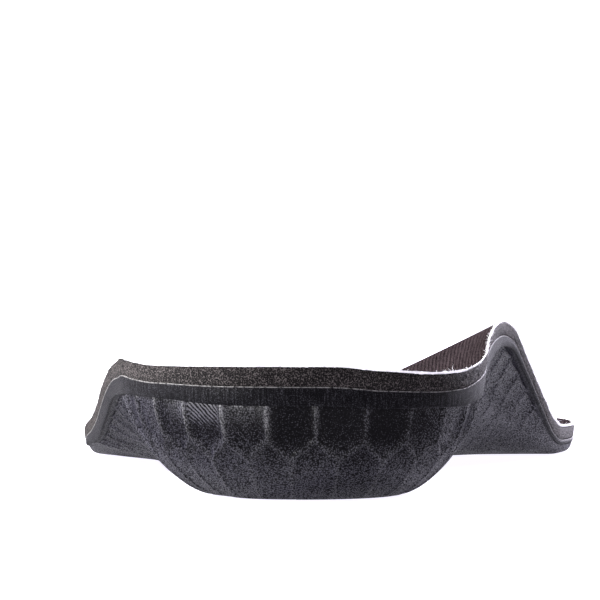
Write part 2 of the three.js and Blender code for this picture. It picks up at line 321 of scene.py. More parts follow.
@dataclass(frozen=True)
class FootForm:
    """Plan outline and sections of the insole, in millimetres."""

    length: float = 276.0
    heel_half_width: float = 33.3
    heel_centre: float = 40.0
    heel_roundness: float = 2.1
    centre_x: float = -0.8
    toe_tip_x: float = 9.0
    spine_start: float = 38.0
    spine_end: float = 236.0
    relief_reach: float = 172.0
    edge_taper: float = 0.1
    outline_points: int = 3000
    rib_steps: Row = (0.0, 0.2, 0.5, 0.95, 1.55)
    first_step: float = 0.1
    last_step: float = 0.3

    @property
    def shift(self) -> np.ndarray:
        """From the drawing's origin at the heel to the shared frame, in millimetres."""
        return np.array([-self.centre_x, -self.length / 2, 0.0])

    def join_turn(self, side: Side) -> float:
        """The angle of the heel's quarter at which a side leaves it, in radians."""
        fall = 1 - SWELLS[side].join_y / self.heel_centre
        return math.acos(fall ** (self.heel_roundness / 2))

    def side_x(self, side: Side, y: np.ndarray) -> np.ndarray:
        """Where one side stands as it swells from heel to ball."""
        swell = SWELLS[side]
        way = np.clip((y - swell.join_y) / (swell.ball_y - swell.join_y), 0, 1) ** swell.waist
        ends = swell.leave * way * (1 - way) ** 2 - swell.arrive * way**2 * (1 - way)
        rise = math.sin(self.join_turn(side)) ** (2 / self.heel_roundness)
        join_x = side.value * self.heel_half_width * rise
        return join_x + (swell.ball_x - join_x) * (way * way * (3 - 2 * way) + ends)

    def outline(self, side: Side) -> tuple[np.ndarray, np.ndarray, np.ndarray]:
        """One side of the outline, finely drawn.

        Args:
            side: Which side of the foot.

        Returns:
            Its x, its y and the distance along the rim, from the heel's back to the toe tip.
        """
        swell = SWELLS[side]
        angle = np.linspace(0, np.pi / 2, self.outline_points)
        rise, fall = np.sin(angle), np.maximum(np.cos(angle), 0)
        turn = np.linspace(0, self.join_turn(side), self.outline_points)
        heel = 2 / self.heel_roundness
        toe = 2 / swell.toe_roundness
        middle = np.linspace(swell.join_y, swell.ball_y, self.outline_points)
        heel_x = side.value * self.heel_half_width
        x = np.concatenate(
            [
                heel_x * np.sin(turn) ** heel,
                self.side_x(side, middle)[1:],
                (self.toe_tip_x + (swell.ball_x - self.toe_tip_x) * fall**toe)[1:],
            ]
        )
        y = np.concatenate(
            [
                self.heel_centre * (1 - np.maximum(np.cos(turn), 0) ** heel),
                middle[1:],
                (swell.ball_y + (self.length - swell.ball_y) * rise**toe)[1:],
            ]
        )
        z = TOP_TABLE.read(f"rim_{side.name.lower()}", y)
        step = np.sqrt(np.diff(x) ** 2 + np.diff(y) ** 2 + np.diff(z) ** 2)
        return x, y, np.concatenate([[0.0], np.cumsum(step)])

    def spine_x(self, y: np.ndarray) -> np.ndarray:
        """Where the spine stands, half way between the sides."""
        return (self.side_x(Side.MEDIAL, y) + self.side_x(Side.LATERAL, y)) / 2

    def even_arcs(self, side: Side, fine: float, coarse: float) -> np.ndarray:
        """Distances along one side, at the same lengths on both sides wherever the spine is a line.

        Args:
            side: Which side of the foot.
            fine: Step along the heel and the flanks.
            coarse: Step along the forefoot.

        Returns:
            The distances, from the heel's back to the toe tip.
        """
        _, y, along = self.outline(side)
        heel_end = np.interp(self.spine_start, y, along)
        toe_start = np.interp(self.spine_end, y, along)
        flank_steps = round((self.relief_reach - self.spine_start) / fine)
        ball_steps = round((self.spine_end - self.relief_reach) / coarse)
        heel = np.linspace(0, heel_end, round(heel_end / fine), endpoint=False)
        flank = np.linspace(self.spine_start, self.relief_reach, flank_steps, endpoint=False)
        ball = np.linspace(self.relief_reach, self.spine_end, ball_steps, endpoint=False)
        toe = np.linspace(toe_start, along[-1], round((along[-1] - toe_start) / coarse) + 1)
        return np.concatenate([heel, np.interp(np.concatenate([flank, ball]), y, along), toe])

    def rib_arcs(self, side: Side, coarse: float) -> np.ndarray:
        """Distances along one side, close together at each rib and even over the forefoot.

        Args:
            side: Which side of the foot.
            coarse: Step along the forefoot.

        Returns:
            The distances, from the heel's back to the toe tip.
        """
        pitch = RELIEF[side]
        length = self.outline(side)[2][-1]
        near = np.array(self.rib_steps)
        near = np.concatenate([-near[:0:-1], near, [pitch.half_cell / 2]])
        ribs = pitch.first_rib + np.arange(-1, pitch.half_cells) * pitch.half_cell
        arcs = (ribs[:, None] + near[None, :]).ravel()
        arcs = arcs[(arcs > self.first_step) & (arcs < pitch.end - self.last_step)]
        forefoot = np.linspace(pitch.end, length, round((length - pitch.end) / coarse) + 1)
        return np.concatenate([[0.0], arcs, forefoot])

    def side_columns(self, side: Side, arc: np.ndarray, pitch: float) -> dict[str, np.ndarray]:
        """Columns up one side.

        Args:
            side: Which side of the foot.
            arc: Distances along the rim, from the heel's back to the toe tip.
            pitch: Step of the shared points of the spine, or 0 for one per column.

        Returns:
            The fields of the stations of that side.
        """
        x, y, along = self.outline(side)
        rim_x, rim_y = np.interp(arc, along, x), np.interp(arc, along, y)
        spine_y = np.clip(rim_y, self.spine_start, self.spine_end)
        spine_x = self.spine_x(spine_y)
        middle_y = np.rint(spine_y / pitch) * pitch if pitch else spine_y
        name = side.name.lower()
        lift = UNDER_TABLE.read("arch_lift", rim_y) if side is Side.MEDIAL else np.zeros(len(arc))
        return {
            "side": np.full(len(arc), float(side.value)),
            "along": arc,
            "rim_x": rim_x,
            "rim_y": rim_y,
            "rim_z": TOP_TABLE.read(f"rim_{name}", rim_y),
            "spine_x": spine_x,
            "spine_y": spine_y,
            "middle_x": self.spine_x(middle_y),
            "middle_y": middle_y,
            "middle_seat": TOP_TABLE.read("seat", middle_y),
            "middle_edge": UNDER_TABLE.read("foam_edge", middle_y),
            "run": np.hypot(rim_x - spine_x, rim_y - spine_y),
            "seat": TOP_TABLE.read("seat", spine_y),
            "bowl": TOP_TABLE.read(f"bowl_{name}", rim_y),
            "foam_edge": UNDER_TABLE.read("foam_edge", rim_y),
            "band_edge": UNDER_TABLE.read(f"band_{name}", rim_y),
            "ledge": UNDER_TABLE.read("ledge", rim_y),
            "flank": UNDER_TABLE.read(f"flank_{name}", rim_y),
            "roundness": UNDER_TABLE.read("roundness", rim_y),
            "lift": lift,
        }

    @staticmethod
    def ring_of(lateral: dict[str, np.ndarray], medial: dict[str, np.ndarray]) -> Stations:
        """Joins both sides once round, with the toe tip both first and last."""
        return Stations(
            **{key: np.concatenate([lateral[key][:0:-1], medial[key]]) for key in medial}
        )

    def even_stations(self, fine: float, coarse: float) -> Stations:
        """Columns evenly spread, finer along the heel and flanks than along the forefoot."""
        sides = (Side.LATERAL, Side.MEDIAL)
        return self.ring_of(
            *(self.side_columns(side, self.even_arcs(side, fine, coarse), 0.0) for side in sides)
        )

    def rib_stations(self, coarse: float, pitch: float) -> Stations:
        """Columns gathered at the ribs, with the spine's points shared at a pitch."""
        sides = (Side.LATERAL, Side.MEDIAL)
        return self.ring_of(
            *(self.side_columns(side, self.rib_arcs(side, coarse), pitch) for side in sides)
        )

    def wall(self, at: Stations, down: float) -> tuple[np.ndarray, np.ndarray]:
        """The moulded wall from the ledge (0) to the floor (1).

        Args:
            at: The stations.
            down: Share of the way down the wall.

        Returns:
            The inset from the rim and the height, for each column.
        """
        depth = at.foam_edge + at.band_edge
        start = self.edge_taper * depth + at.ledge
        rise, fall = quarter_turn(down, at.roundness)
        inward = start + (at.flank - start) * (1 - fall)
        return inward, at.lift + (at.rim_z - depth - at.lift) * (1 - rise)


class Shade:
    """A socket of a finish's node tree, with arithmetic that adds Math nodes."""

    def __init__(self, tree: "FinishTree", socket: bpy.types.NodeSocket) -> None:
        """Wraps a socket of a tree."""
        self.tree = tree
        self.socket = socket

    def math(self, operation: str, first: Any, second: Any = 0.0) -> "Shade":
        """Adds one Math node on two values or shades."""
        settings = {"operation": operation}
        return self.tree.node("ShaderNodeMath", settings, {0: first, 1: second})

    def __add__(self, other: Any) -> "Shade":
        """This plus other."""
        return self.math("ADD", self, other)

    def __radd__(self, other: Any) -> "Shade":
        """Other plus this."""
        return self.math("ADD", other, self)

    def __sub__(self, other: Any) -> "Shade":
        """This less other."""
        return self.math("SUBTRACT", self, other)

    def __rsub__(self, other: Any) -> "Shade":
        """Other less this."""
        return self.math("SUBTRACT", other, self)

    def __mul__(self, other: Any) -> "Shade":
        """This times other."""
        return self.math("MULTIPLY", self, other)

    def __rmul__(self, other: Any) -> "Shade":
        """Other times this."""
        return self.math("MULTIPLY", other, self)

    def __truediv__(self, other: Any) -> "Shade":
        """This over other."""
        return self.math("DIVIDE", self, other)

    def __rtruediv__(self, other: Any) -> "Shade":
        """Other over this."""
        return self.math("DIVIDE", other, self)

    def sine(self) -> "Shade":
        """The sine of this, in radians."""
        return self.math("SINE", self)

    def size(self) -> "Shade":
        """This without its sign."""
        return self.math("ABSOLUTE", self)

    def fraction(self) -> "Shade":
        """What is left of this over its whole number."""
        return self.math("FRACT", self)

    def most(self, other: Any) -> "Shade":
        """The larger of this and other."""
        return self.math("MAXIMUM", self, other)

    def ease(self, low: float, high: float) -> "Shade":
        """Eases from 0 where this is low to 1 where it is high."""
        return self.tree.node(
            "ShaderNodeMapRange",
            {"interpolation_type": "SMOOTHSTEP"},
            {"Value": self, "From Min": low, "From Max": high},
        )


class FinishTree:
    """The node tree of one material or of the world."""

    def __init__(self, owner: bpy.types.Material | bpy.types.World) -> None:
        """Empties the owner's tree."""
        owner.use_nodes = True
        self.owner = owner
        self.nodes = owner.node_tree.nodes
        self.links = owner.node_tree.links
        self.nodes.clear()

    @classmethod
    def named(cls, name: str) -> "FinishTree":
        """Starts a new material of that name."""
        return cls(bpy.data.materials.new(name))

    @staticmethod
    def find(sockets: Any, key: str | int) -> bpy.types.NodeSocket:
        """Finds a socket by place, identifier or name."""
        if isinstance(key, int):
            return sockets[key]
        return next((item for item in sockets if item.identifier == key), None) or sockets[key]

    def node(
        self,
        kind: str,
        settings: dict[str, Any] | None = None,
        sockets: dict[str | int, Any] | None = None,
        output: str | int = 0,
    ) -> Shade:
        """Adds a node, sets it, then fills or links its sockets.

        Args:
            kind: The node's type.
            settings: Properties of the node.
            sockets: Values or shades for its inputs, by place, identifier or name.
            output: The output to give back.

        Returns:
            That output.
        """
        made = self.nodes.new(kind)
        for key, value in (settings or {}).items():
            setattr(made, key, value)
        for key, value in (sockets or {}).items():
            target = self.find(made.inputs, key)
            if isinstance(value, Shade):
                self.links.new(value.socket, target)
            else:
                target.default_value = value
        return Shade(self, self.find(made.outputs, output) if made.outputs else None)

    def place(self) -> Shade:
        """Object coordinates, in metres of the shared frame."""
        return self.node("ShaderNodeTexCoord", output="Object")

    def mask(self, name: str) -> Shade:
        """A number kept on the mesh's points under that name."""
        return self.node("ShaderNodeAttribute", {"attribute_name": name}, output="Fac")

    def noise(self, where: Shade, grain: float, detail: float) -> Shade:
        """Soft noise of a grain given in millimetres."""
        sockets = {"Vector": where, "Scale": 1 / (grain * MM), "Detail": detail}
        return self.node("ShaderNodeTexNoise", None, sockets, "Fac")

    def blend(self, share: Shade | float, first: Shade | Colour, second: Shade | Colour) -> Shade:
        """Mixes two colours by a share of the second."""
        sockets = {"Factor_Float": share, "A_Color": first, "B_Color": second}
        return self.node("ShaderNodeMix", {"data_type": "RGBA"}, sockets, "Result_Color")

    def bump(self, height: Shade, depth: float) -> Shade:
        """Turns a height into a normal, one unit of it being a depth in millimetres."""
        sockets = {"Height": height, "Distance": depth * MM, "Strength": 1.0}
        return self.node("ShaderNodeBump", None, sockets, "Normal")

    def shader(self, sockets: dict[str | int, Any]) -> Shade:
        """A principled shader with the given sockets."""
        return self.node("ShaderNodeBsdfPrincipled", None, sockets, "BSDF")

    def surface(self, shader: Shade) -> bpy.types.Material:
        """Ends the tree in a shader and gives back the material."""
        self.node("ShaderNodeOutputMaterial", None, {"Surface": shader})
        return self.owner

    def cells(self, where: Shade, size: float) -> Shade:
        """Distance to the middle of round cells of a size given in millimetres."""
        sockets = {"Vector": where, "Scale": 1 / (size * MM)}
        return self.node("ShaderNodeTexVoronoi", {"feature": "F1"}, sockets, "Distance")

    def stretch(self, where: Shade, scale: Triple) -> Shade:
        """Scales coordinates along each axis."""
        return self.node("ShaderNodeMapping", None, {"Vector": where, "Scale": scale}, "Vector")

    def axis(self, where: Shade, name: str) -> Shade:
        """One axis of coordinates."""
        return self.node("ShaderNodeSeparateXYZ", None, {"Vector": where}, name)


@dataclass(frozen=True)
class MouldedFinish:
    """Charcoal moulded foam: pebbled skin with painted shade and highlights, a smooth trimmed band
    and a pale line painted along the band's top lip.

    Grains and depths are in millimetres, here and in the other finishes.
    """

    # Pebble hollows are painted dark and pebble tops painted light: painted shade and painted
    # highlight over a random grain tone.
    shaded_hollow: Colour = (0.0010, 0.0009, 0.0014, 1)
    lit_crest: Colour = (0.0195, 0.0180, 0.0290, 1)
    trimmed: Colour = (0.0014, 0.0013, 0.0018, 1)
    scuffed: Colour = (0.021, 0.0203, 0.0248, 1)
    lip_line: Colour = (0.16, 0.154, 0.154, 1)
    pebble: float = 0.29
    grain: float = 0.16
    cloud: float = 7.0
    comb: float = 0.9
    comb_waver: float = 0.7
    waver_size: float = 1.6
    skin_depth: float = 0.24
    skin_coat_roughness: float = 0.3
    skin_coat_index: float = 2.0
    streak: float = 0.3
    streak_stretch: Triple = (1.0, 0.1, 1.0)
    bond_break: float = 0.9
    break_stretch: Triple = (1.0, 0.02, 1.0)
    trim_depth: float = 0.2
    trim_coat_roughness: float = 0.35

    def skin(self, tree: FinishTree, place: Shade, wrap: Shade) -> Shade:
        """The pebbled skin, combed by slanting lines in the upper panels, glossy on the ribs, with
        painted shade in the sunk upper panels and painted highlights along the comb lines.
        """
        hatch, rib, panel = tree.mask("hatch"), tree.mask("rib"), tree.mask("panel")
        grain = tree.noise(place, self.grain, 2.0)
        cloud = tree.noise(place, self.cloud, 3.0)
        waver = tree.noise(place, self.waver_size, 2.0) * (self.comb_waver * MM)
        slant = tree.axis(wrap, "X") - tree.axis(wrap, "Y") + waver
        lines = (slant * (2 * math.pi / (self.comb * MM))).sine() * 0.5 + 0.5
        pebbles = (1 - tree.cells(place, self.pebble)) * 0.7 + grain * 0.8
        # The comb lines, painted lighter in colour as a painted highlight, and made glossier.
        comb_highlight = hatch * lines.ease(0.3, 0.95)
        # Painted shade darkens the sunk upper panels, and a painted highlight lightens the comb
        # lines.
        painted_shading = 0.25 * panel - 0.6 * comb_highlight
        speckle_and_painted_light = (pebbles * 0.85 + cloud * 0.14 - 0.12 - painted_shading).ease(0.4, 0.86)
        sparkle = pebbles.ease(0.5, 1.0)
        relief = pebbles * (1 - 0.4 * hatch) + lines * hatch * 1.3
        gloss = 0.03 + 0.39 * speckle_and_painted_light + rib * (sparkle * 0.9 + 0.1) + 0.2 * comb_highlight
        return tree.shader(
            {
                "Base Color": tree.blend(speckle_and_painted_light, self.shaded_hollow, self.lit_crest),
                "Roughness": 0.36 + 0.25 * grain,
                "Specular IOR Level": 0.0,
                "Coat Weight": gloss,
                "Coat Roughness": self.skin_coat_roughness,
                "Coat IOR": self.skin_coat_index,
                "Normal": tree.bump(relief, self.skin_depth),
            }
        )

    def trim(self, tree: FinishTree, place: Shade, wrap: Shade) -> Shade:
        """The trimmed band with its cutting streaks, and a pale line painted along its top lip."""
        lip_line = tree.mask("lip_line")
        grain = tree.noise(place, self.grain, 2.0)
        streak = tree.noise(tree.stretch(wrap, self.streak_stretch), self.streak, 3.0)
        breaks = tree.noise(tree.stretch(wrap, self.break_stretch), self.bond_break, 3.0)
        worn = (streak * 0.4 + grain * 0.8 - 0.05).ease(0.54, 0.74)
        band = tree.blend(worn, self.trimmed, self.scuffed)
        # A pale line is painted along the lip at the band's top, broken here and there.
        pale_line = lip_line * (breaks * 0.7 + grain * 0.4).ease(0.42, 0.62)
        return tree.shader(
            {
                "Base Color": tree.blend(pale_line, band, self.lip_line),
                "Roughness": 0.6 + 0.25 * grain,
                "Specular IOR Level": 0.03,
                "Coat Weight": 0.2 * worn,
                "Coat Roughness": self.trim_coat_roughness,
                "Normal": tree.bump(streak * 0.5 + grain * 0.7, self.trim_depth),
            }
        )

    def material(self) -> bpy.types.Material:
        """Builds the material."""
        tree = FinishTree.named("moulded_foam_finish")
        place = tree.place()
        wrap = tree.node("ShaderNodeUVMap", {"uv_map": "wrap"})
        edge = tree.mask("band").most(tree.mask("lip_line"))
        sockets = {0: edge, 1: self.skin(tree, place, wrap), 2: self.trim(tree, place, wrap)}
        return tree.surface(tree.node("ShaderNodeMixShader", None, sockets))


@dataclass(frozen=True)
class OpenFoamFinish:
    """Warm dark grey open-cell foam with a granular cut face, its pores painted dark as shade."""

    # The pores are painted dark: painted shade in the cells' hollows, following the bump's height.
    shaded_pore: Colour = (0.0015, 0.0013, 0.0014, 1)
    strut: Colour = (0.065, 0.0564, 0.0563, 1)
    cell: float = 0.26
    crumb: float = 0.17
    cloud: float = 3.0
    depth: float = 0.16

    def material(self) -> bpy.types.Material:
        """Builds the material."""
        tree = FinishTree.named("open_cell_foam_finish")
        place = tree.place()
        cells = tree.cells(place, self.cell)
        crumb = tree.noise(place, self.crumb, 2.0)
        cloud = tree.noise(place, self.cloud, 2.0)
        height = cells * 0.6 + crumb * 0.9
        open_share = (height * 0.9 + cloud * 0.12).ease(0.7, 0.98)
        shader = tree.shader(
            {
                "Base Color": tree.blend(open_share, self.shaded_pore, self.strut),
                "Roughness": 0.93,
                "Specular IOR Level": 0.1,
                "Normal": tree.bump(height, self.depth),
            }
        )
        return tree.surface(shader)


@dataclass(frozen=True)
class KnitFinish:
    """Brown-grey fine knit with wales along the foot, and a pale cut edge."""

    shadow: Colour = (0.0012, 0.0009, 0.0010, 1)
    yarn: Colour = (0.032, 0.0242, 0.0263, 1)
    cut: Colour = (0.88, 0.86, 0.89, 1)
    wale: float = 0.8
    course: float = 1.0
    fibre: float = 0.34
    heather: float = 0.55
    heather_stretch: Triple = (1.0, 0.18, 1.0)
    cloud: float = 16.0
    depth: float = 0.2

    def material(self) -> bpy.types.Material:
        """Builds the material."""
        tree = FinishTree.named("knit_fabric_finish")
        cloth = tree.node("ShaderNodeUVMap", {"uv_map": "cloth"})
        across, length = tree.axis(cloth, "X"), tree.axis(cloth, "Y")
        cut = tree.mask("cut")
        fibre = tree.noise(cloth, self.fibre, 2.0)
        heather = tree.noise(tree.stretch(cloth, self.heather_stretch), self.heather, 2.0)
        arm = (((across / (self.wale * MM)).fraction() - 0.5) * 2).size()
        loop = ((length / (self.course * MM) + arm * 0.55) * (2 * math.pi)).sine() * 0.5 + 0.5
        rib = 1 - arm * arm
        groove = (1 - arm).ease(0.0, 0.45) * (1 - 0.35 * (0.25 - arm).ease(0.0, 0.2))
        height = rib * 0.55 + loop * groove * 0.45 + fibre * 0.7
        cloud = tree.noise(cloth, self.cloud, 4.0)
        mottle = heather * 0.6 + fibre * 2.6 + cloud * 0.35
        tone = (rib * 0.25 + loop * 0.1 + mottle - 1.56).ease(0.1, 0.8)
        knit = tree.blend(tone, self.shadow, self.yarn)
        frayed = (cut * 1.25 + fibre * 0.7 - 0.55).ease(0.1, 0.75)
        shader = tree.shader(
            {
                "Base Color": tree.blend(frayed, knit, self.cut),
                "Roughness": 0.9,
                "Specular IOR Level": 0.0,
                "Normal": tree.bump(height, self.depth),
            }
        )
        return tree.surface(shader)


@dataclass(frozen=True)
class FuzzFinish:
    """White loose fibre ends."""

    dull: Colour = (0.86, 0.84, 0.88, 1)
    bright: Colour = (0.95, 0.94, 0.96, 1)
    mottle: float = 0.6

    def material(self) -> bpy.types.Material:
        """Builds the material."""
        tree = FinishTree.named("loose_fibre_finish")
        tone = tree.noise(tree.place(), self.mottle, 2.0).ease(0.3, 0.7)
        shader = tree.shader(
            {
                "Base Color": tree.blend(tone, self.dull, self.bright),
                "Roughness": 0.85,
                "Specular IOR Level": 0.2,
            }
        )
        return tree.surface(shader)


@dataclass(frozen=True)
class FloorFinish:
    """White paper that glows evenly."""

    paper: Colour = (0.25, 0.25, 0.252, 1)
    fleck: Colour = (0.24, 0.24, 0.243, 1)
    lit: Colour = (0.91, 0.885, 1.0, 1)
    shade: Colour = (0.90, 0.875, 0.99, 1)
    glow: float = 1.1
    cloud: float = 40.0

    def material(self) -> bpy.types.Material:
        """Builds the material."""
        tree = FinishTree.named("studio_paper_finish")
        cloud = tree.noise(tree.place(), self.cloud, 2.0)
        shader = tree.shader(
            {
                "Base Color": tree.blend(cloud, self.fleck, self.paper),
                "Roughness": 0.9,
                "Specular IOR Level": 0.1,
                "Emission Color": tree.blend(cloud, self.shade, self.lit),
                "Emission Strength": self.glow,
            }
        )
        return tree.surface(shader)


class Bench:
    """Hand operations on meshes, with their tolerances in metres."""

    MERGE = 2e-6
    SLIVER = 1e-7

    @staticmethod
    def clear() -> None:
        """Deselects everything."""
        for item in bpy.context.selected_objects:
            item.select_set(False)
        bpy.context.view_layer.objects.active = None

    @staticmethod
    def add_grid(name: str, columns: int, rows: int) -> bpy.types.Object:
        """Adds a flat sheet of so many points each way.

        Args:
            name: Name of the piece.
            columns: Points along x.
            rows: Points along y.

        Returns:
            The new object.
        """
        Bench.clear()
        bpy.ops.mesh.primitive_grid_add(
            x_subdivisions=columns - 1, y_subdivisions=rows - 1, size=1.0
        )
        sheet = bpy.context.active_object
        sheet.name = sheet.data.name = name
        return sheet

    @staticmethod
    def drape(sheet: bpy.types.Object, rows: Sequence[np.ndarray]) -> np.ndarray:
        """Lays a sheet's points on the rings of a section.

        Args:
            sheet: A sheet with as many rows as there are rings.
            rows: Rings of points in metres.

        Returns:
            For each point of the mesh, its place in the rings stacked row after row.
        """
        mesh = sheet.data
        flat = np.empty(len(mesh.vertices) * 3)
        mesh.vertices.foreach_get("co", flat)
        flat = flat.reshape(-1, 3)
        count = len(rows[0])
        column = np.rint((flat[:, 0] + 0.5) * (count - 1)).astype(int)
        row = np.rint((flat[:, 1] + 0.5) * (len(rows) - 1)).astype(int)
        order = row * count + column
        mesh.vertices.foreach_set("co", np.concatenate(rows)[order].astype(np.float32).ravel())
        mesh.update()
        return order

    @staticmethod
    def keep_mask(sheet: bpy.types.Object, name: str, values: np.ndarray) -> None:
        """Keeps one number per point on the mesh."""
        layer = sheet.data.attributes.new(name, "FLOAT", "POINT")
        layer.data.foreach_set("value", values.astype(np.float32))

    @staticmethod
    def keep_map(sheet: bpy.types.Object, name: str, flat: np.ndarray) -> None:
        """Keeps a flat place per point as the mesh's only UV map."""
        mesh = sheet.data
        while mesh.uv_layers:
            mesh.uv_layers.remove(mesh.uv_layers[0])
        layer = mesh.uv_layers.new(name=name)
        corner = np.empty(len(mesh.loops), dtype=np.int32)
        mesh.loops.foreach_get("vertex_index", corner)
        layer.data.foreach_set("uv", flat[corner].astype(np.float32).ravel())

    @staticmethod
    def close(sheet: bpy.types.Object, angle: float) -> None:
        """Merges the sheet's seams and poles, turns its faces out and shades it smooth.

        Args:
            sheet: The piece.
            angle: Edges sharper than this many degrees stay sharp.
        """
        Bench.clear()
        sheet.select_set(True)
        bpy.context.view_layer.objects.active = sheet
        bpy.ops.object.mode_set(mode="EDIT")
        bpy.ops.mesh.select_all(action="SELECT")
        bpy.ops.mesh.remove_doubles(threshold=Bench.MERGE)
        bpy.ops.mesh.dissolve_degenerate(threshold=Bench.SLIVER)
        bpy.ops.mesh.select_all(action="SELECT")
        bpy.ops.mesh.normals_make_consistent(inside=False)
        bpy.ops.object.mode_set(mode="OBJECT")
        bpy.ops.object.shade_smooth_by_angle(angle=math.radians(angle))
        Bench.clear()


@dataclass
class Layer:
    """What every layer of the insole shares: its form and the way its rings become a piece.

    Sizes are in millimetres, and shares run from the spine to the rim or down a face.
    """

    SMALL = 1e-6
    form: FootForm
    piece: bpy.types.Object | None = field(default=None, init=False)

    def loft(self, name: str, rings: Sequence[np.ndarray]) -> tuple[bpy.types.Object, np.ndarray]:
        """Lofts rings in millimetres of the drawing into a sheet in the shared frame.

        Args:
            name: Name of the piece.
            rings: Rings of points, from the middle of the top to the middle of the underside.

        Returns:
            The sheet and each point's place in the stacked rings.
        """
        sheet = Bench.add_grid(name, len(rings[0]), len(rings))
        placed = [(ring + self.form.shift) * MM for ring in rings]
        return sheet, Bench.drape(sheet, placed)

    @staticmethod
    def dress(piece: bpy.types.Object, finish: bpy.types.Material) -> None:
        """Gives a piece its one material."""
        piece.data.materials.clear()
        piece.data.materials.append(finish)


@dataclass(frozen=True)
class WallMarks:
    """Where the wall's finish changes: round the heel in millimetres, down the wall in shares.

    The heel's end and the end of the painted panel shade round the back hold for both sides alike.
    The other places round the heel count up on the lateral side and down on the medial side.
    """

    heel_end: Span = Span(58.0, 85.0)
    # Round the heel's back, where the painted panel shade ends.
    shade_end: Span = Span(20.0, 42.0)
    comb_start: Span = Span(13.5, 16.0)
    comb_end: Span = Span(22.5, 26.0)
    comb_foot: Span = Span(0.08, 0.27)
    gleam_start: Span = Span(2.0, 9.0)
    gleam_end: Span = Span(24.0, 32.0)
    shine_start: Span = Span(-12.0, 12.0)
    shine_end: Span = Span(27.0, 38.0)
    shine_foot: Span = Span(0.16, 0.36)
    least_shine: float = 0.06
    far_shine: float = 0.25
    fork_top: Span = Span(0.2, 0.4)
    fork_shine: float = 0.13
    sheen: float = 0.38
    sheen_foot: Span = Span(0.0, 0.3)
    # Down the wall, where the painted panel shade fades out.
    shade_foot: Span = Span(0.2, 0.6)

    def masks(
        self, at: Stations, down: float, share: np.ndarray, fade: float
    ) -> dict[str, np.ndarray]:
        """Masks of the finish along one ring of the wall, among them the painted shade of the sunk
        panels.

        Args:
            at: The stations.
            down: Share of the way down the wall.
            share: How far each column is sunk, as a share of the panel's depth.
            fade: How much of the relief is left at that height.

        Returns:
            One row of numbers by mask name.
        """
        near = self.heel_end.fall(at.along)
        back = self.shade_end.fall(at.along)
        round_heel = -at.along * at.side
        combed = self.comb_start.rise(round_heel) * self.comb_end.fall(round_heel)
        gleam = self.gleam_start.rise(round_heel) * self.gleam_end.fall(round_heel)
        shiny = self.least_shine + (1 - self.least_shine) * self.shine_start.rise(round_heel)
        shiny = shiny * (1 - (1 - self.far_shine) * self.shine_end.rise(round_heel))
        gloss = near * shiny * self.shine_foot.fall(down)
        gloss = gloss + self.fork_shine * near * self.fork_top.rise(down) * fade
        sheen = self.sheen * gleam * (1 - 0.8 * combed) * self.sheen_foot.fall(down)
        return {
            "hatch": share * combed * self.comb_foot.fall(down),
            "rib": (1 - share) ** 3 * gloss + sheen,
            # panel: painted shade, darker in the sunk panels high on the wall and round the heel's
            # back, lighter where the gleam is.
            "panel": (0.5 + 0.5 * share) * self.shade_foot.fall(down) * back * (1 - 0.4 * gleam),
        }


